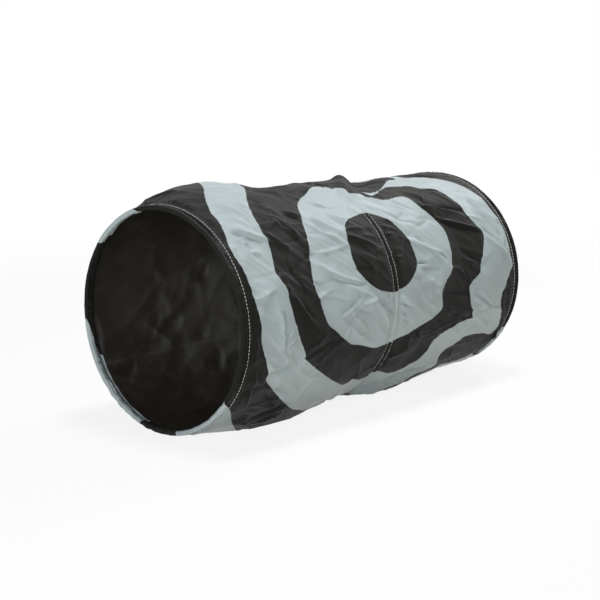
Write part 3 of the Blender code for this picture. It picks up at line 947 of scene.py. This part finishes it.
def stitchTree():  # stitches along a path: one small spindle at every pitch
    tree = bpy.data.node_groups.new("rowOfStitches", "GeometryNodeTree")
    face = tree.interface
    face.new_socket("Geometry", in_out="INPUT", socket_type="NodeSocketGeometry")
    for name, value in stitchSizes.items():
        kind = "NodeSocketInt" if name == "Seed" else "NodeSocketFloat"
        face.new_socket(name, in_out="INPUT", socket_type=kind).default_value = value
    face.new_socket("Thread", in_out="INPUT", socket_type="NodeSocketMaterial")
    face.new_socket("Geometry", in_out="OUTPUT", socket_type="NodeSocketGeometry")
    given = addNode(tree, "NodeGroupInput").outputs
    line = addNode(tree, "GeometryNodeMeshToCurve", {"Mesh": given["Geometry"]})
    spacing = {"Curve": line.outputs[0], "Length": given["Pitch"]}
    spots = addNode(tree, "GeometryNodeCurveToPoints", spacing, mode="LENGTH").outputs
    ball = addNode(tree, "GeometryNodeMeshUVSphere", {"Segments": 6, "Rings": 4, "Radius": 0.5})
    sizes = {0: given["Thread Width"], 1: given["Thread Width"], 2: given["Stitch Length"]}
    size = addNode(tree, "ShaderNodeCombineXYZ", sizes).outputs[0]
    spindle = addNode(tree, "GeometryNodeTransform", {"Geometry": ball.outputs[0], "Scale": size})
    rows = addNode(tree, "GeometryNodeInstanceOnPoints", {
        "Points": spots["Points"], "Instance": spindle.outputs[0], "Rotation": spots["Rotation"],
    })
    back = addNode(tree, "ShaderNodeMath", {0: given["Lean"], 1: -1.0}, operation="MULTIPLY").outputs[0]
    lowest, highest = (
        addNode(tree, "ShaderNodeCombineXYZ", {0: end, 1: end}).outputs[0] for end in (back, given["Lean"])
    )
    limits = {"Min": lowest, "Max": highest, "Seed": given["Seed"]}
    lean = addNode(tree, "FunctionNodeRandomValue", limits, data_type="FLOAT_VECTOR").outputs["Value"]
    uneven = addNode(tree, "GeometryNodeRotateInstances", {"Instances": rows.outputs[0], "Rotation": lean})
    real = addNode(tree, "GeometryNodeRealizeInstances", {"Geometry": uneven.outputs[0]}).outputs[0]
    worn = addNode(tree, "GeometryNodeSetMaterial", {"Geometry": real, "Material": given["Thread"]})
    addNode(tree, "NodeGroupOutput", {0: worn.outputs[0]})
    return tree


stitches = stitchTree()


def sewPaths(name, paths, seed, yarn):  # paths in mm: (points, closed)
    mesh = bpy.data.meshes.new(name)
    points, edges = [], []
    for path, closed in paths:
        first = len(points)
        points += [tuple(p * 0.001) for p in path]
        edges += [(first + n, first + n + 1) for n in range(len(path) - 1)]
        if closed:
            edges.append((first + len(path) - 1, first))
    mesh.from_pydata(points, edges, [])
    piece = bpy.data.objects.new(name, mesh)
    bpy.context.scene.collection.objects.link(piece)
    modifier = piece.modifiers.new("Stitches", "NODES")
    modifier.node_group = stitches
    given = {**stitchSizes, "Seed": seed, "Thread": yarn}
    for item in stitches.interface.items_tree:
        if item.in_out == "INPUT" and item.name in given:
            modifier[item.identifier] = given[item.name]
    graph = bpy.context.evaluated_depsgraph_get()
    made = bpy.data.meshes.new_from_object(piece.evaluated_get(graph), depsgraph=graph)
    piece.modifiers.clear()
    piece.data = made
    made.name = name
    made.shade_smooth()
    return piece


ringAngles = np.arange(720) / 2


def ring(radius, y, middle):  # a closed path round the tunnel
    return roundHoop(radius, y, ringAngles, middle, floor=stitchLift["floor"]), True


def hemRows(side):  # the row outside, and the same row inside
    depth, top, off = sleeve["hemStitchDepth"], sleeve["rimRadius"], 0 * ringAngles
    below = top - 2 * sleeve["cloth"] - sleeve["hemGap"]
    outside = top + hemRelief(depth + off, top + off, ringAngles, side) + stitchLift["hem"]
    inside = below + hemRelief(depth + off, off, ringAngles, side) - stitchLift["hem"]
    y = side * (sleeve["halfLength"] - depth)
    return [ring(outside, y, top)], [ring(inside, y, top)]


for name, side in (("front", -1), ("rear", 1)):
    shown, hidden = hemRows(side)
    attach(sewPaths(f"{name}HemStitches", shown, 11, thread), f"{name}_end")
    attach(sewPaths(f"{name}HemBobbin", hidden, 12, bobbinThread), f"{name}_end")


def onCloth(y):  # the cloth's outer face at one distance along, from its grid
    at = int(np.argmin(np.abs(clothAlong[:, 0] - y)))
    return clothPoints[at] + clothNormals[at] * stitchLift["tape"]


def tapeRows():
    row = sleeve["tapeRow"]
    below = sleeve["middleRadius"] - sleeve["cloth"] - tapeSizes["depth"] - tapeSizes["thickness"] / 2 - 0.6
    shown = [(onCloth(-row), True), (onCloth(row), True)]
    return shown, [ring(below, y, sleeve["middleRadius"]) for y in (-row, row)]


shown, hidden = tapeRows()
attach(sewPaths("middleStitches", shown, 13, thread), "sleeve")
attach(sewPaths("middleBobbin", hidden, 14, bobbinThread), "sleeve")


def seamRows(side):  # two rows of stitches beside the lengthwise seam
    columns = np.append(gridAngles(), clothStart + 360)
    kept = np.flatnonzero((clothAlong[:, 0] * side > 7) & (np.abs(clothAlong[:, 0]) < coverEnd - 2))
    paths = []
    for off in (-seam["row"], seam["row"]):
        at = clothStart + off / arcPerDegree % 360
        low = int(np.searchsorted(columns, at)) - 1
        t = (at - columns[low]) / (columns[low + 1] - columns[low])
        high = (low + 1) % (len(columns) - 1)
        line = clothPoints[kept, low] * (1 - t) + clothPoints[kept, high] * t
        line = line + clothNormals[kept, low] * stitchLift["seam"]
        line[:, 2] = np.maximum(line[:, 2], 0.35)
        paths.append((line, False))
    return paths


frontSeam = sewPaths("frontSeamStitches", seamRows(-1), 15, bobbinThread)
rearSeam = sewPaths("rearSeamStitches", seamRows(1), 16, bobbinThread)
print("stitches sewn")

for where in ("front", "middle", "rear"):
    for node, material in ((f"{where}_hoop", wireSteel), (f"{where}_crimp", crimpZinc)):
        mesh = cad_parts[node].data
        mesh.materials.clear()
        mesh.materials.append(material)

# Which body each piece moves with
for piece, end in ((frontCover, "front"), (rearCover, "rear")):
    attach(piece, "sleeve")
    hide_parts(f"{end}_cover")
    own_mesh(piece)
for piece, joint in ((frontSeam, "front_fold"), (rearSeam, "rear_fold")):
    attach(piece, "sleeve")
    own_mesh(piece)
for piece, node, body in ((frontHem, "front_hem", "front_end"), (rearHem, "rear_hem", "rear_end")):
    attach(piece, body)
    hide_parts(node)
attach(middleTape, "sleeve")
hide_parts("middle_channel")

print("pieces on their bodies")

viewpoint = {  # lens in mm, angles in degrees, the rest in metres
    "lens": 90.0,
    "sensor": 36.0,
    "azimuth": 41.9523,
    "elevation": 10.1888,
    "distance": 1.8231,
    "target": (-0.0338, 0.0133, 0.1090),
}


def setCamera():
    data = bpy.data.cameras.new("camera")
    data.lens, data.sensor_width = viewpoint["lens"], viewpoint["sensor"]
    data.clip_start, data.clip_end = 0.05, 60.0
    camera = bpy.data.objects.new("camera", data)
    a, e = math.radians(viewpoint["azimuth"]), math.radians(viewpoint["elevation"])
    back = Vector((math.sin(a) * math.cos(e), -math.cos(a) * math.cos(e), math.sin(e)))
    camera.location = Vector(viewpoint["target"]) + back * viewpoint["distance"]
    camera.rotation_mode = "QUATERNION"
    camera.rotation_quaternion = (-back).to_track_quat("-Z", "Y")
    bpy.context.scene.collection.objects.link(camera)
    bpy.context.scene.camera = camera


studio = {
    "fill": 0.03,  # the dim room
    "floorWhite": "#f4f4f4",
    "floorBounce": "#e8e5dc",  # what the paper sends back to the tunnel
    "floorGlow": (0.86, 1.0),  # near the tunnel and far from it
    "floorReach": (0.5, 1.6),
    "floorHalf": 14.0,
    "aim": (0.0, 0.0, 0.1),
    "lampSize": 0.45,
    "lamps": [  # name, place, watts
        ("topSoftbox", (0.1, 0.0, 1.7), 18.0),
        ("rearSoftbox", (0.0, 1.3, 1.3), 9.5),
        ("frontPanel", (0.6, -1.8, 0.5), 11.0),
        ("sidePanel", (1.1, -1.4, 0.35), 6.0),
        ("backPanel", (1.0, 1.4, 0.9), 3.0),
    ],
}


def seenRays(tree):  # the rays that see the background: straight, by reflection and through
    path = addNode(tree, "ShaderNodeLightPath").outputs
    seen = path["Is Camera Ray"]
    for ray in ("Is Transmission Ray", "Is Glossy Ray"):
        seen = addNode(tree, "ShaderNodeMath", {0: seen, 1: path[ray]}, operation="MAXIMUM").outputs[0]
    return seen


def lightStudio():
    world = bpy.data.worlds.new("studioRoom")
    bpy.context.scene.world = world
    world.use_nodes = True
    tree = world.node_tree
    tree.nodes.clear()
    room, white = (
        addNode(tree, "ShaderNodeBackground", {"Color": (1, 1, 1, 1), "Strength": strength}).outputs[0]
        for strength in (studio["fill"], 1.0)
    )
    mixed = addNode(tree, "ShaderNodeMixShader", {0: seenRays(tree), 1: room, 2: white})
    addNode(tree, "ShaderNodeOutputWorld", {0: mixed.outputs[0]})
    for name, place, watts in studio["lamps"]:
        lamp = bpy.data.lights.new(name, "AREA")
        lamp.shape, lamp.size, lamp.energy = "DISK", studio["lampSize"], watts
        box = bpy.data.objects.new(name, lamp)
        box.location = place
        box.rotation_mode = "QUATERNION"
        box.rotation_quaternion = (Vector(studio["aim"]) - Vector(place)).to_track_quat("-Z", "Y")
        bpy.context.scene.collection.objects.link(box)


def layFloor():  # pale seamless paper; it keeps the tunnel's soft shadow
    mesh = bpy.data.meshes.new("floorPaper")
    half = studio["floorHalf"]
    corners = [(-half, -half, 0), (half, -half, 0), (half, half, 0), (-half, half, 0)]
    mesh.from_pydata(corners, [], [(0, 1, 2, 3)])
    floor = bpy.data.objects.new("floorPaper", mesh)
    floor.location.z = -0.0005
    bpy.context.scene.collection.objects.link(floor)
    material, tree, shader = startMaterial("seamless paper", 0.9)
    shown = seenRays(tree)
    dressShader(tree, shader, shown, (studio["floorBounce"], studio["floorWhite"]))
    glow = addNode(tree, "ShaderNodeEmission", {"Color": (1, 1, 1, 1), "Strength": 1.0})
    place = addNode(tree, "ShaderNodeTexCoord").outputs["Object"]
    away = addNode(tree, "ShaderNodeVectorMath", {0: place}, operation="LENGTH").outputs["Value"]
    glowing = addNode(tree, "ShaderNodeMapRange", {
        "Value": away, "From Min": studio["floorReach"][0], "From Max": studio["floorReach"][1],
        "To Min": studio["floorGlow"][0], "To Max": studio["floorGlow"][1],
    }, interpolation_type="SMOOTHSTEP").outputs[0]
    seen = addNode(tree, "ShaderNodeMath", {0: shown, 1: glowing}, operation="MULTIPLY").outputs[0]
    mixed = addNode(tree, "ShaderNodeMixShader", {0: seen, 1: shader.outputs[0], 2: glow.outputs[0]})
    tree.links.new(mixed.outputs[0], tree.nodes["Material Output"].inputs["Surface"])
    mesh.materials.append(material)


setCamera()
lightStudio()
layFloor()
bpy.context.scene.view_settings.view_transform = "Standard"
print("studio set")
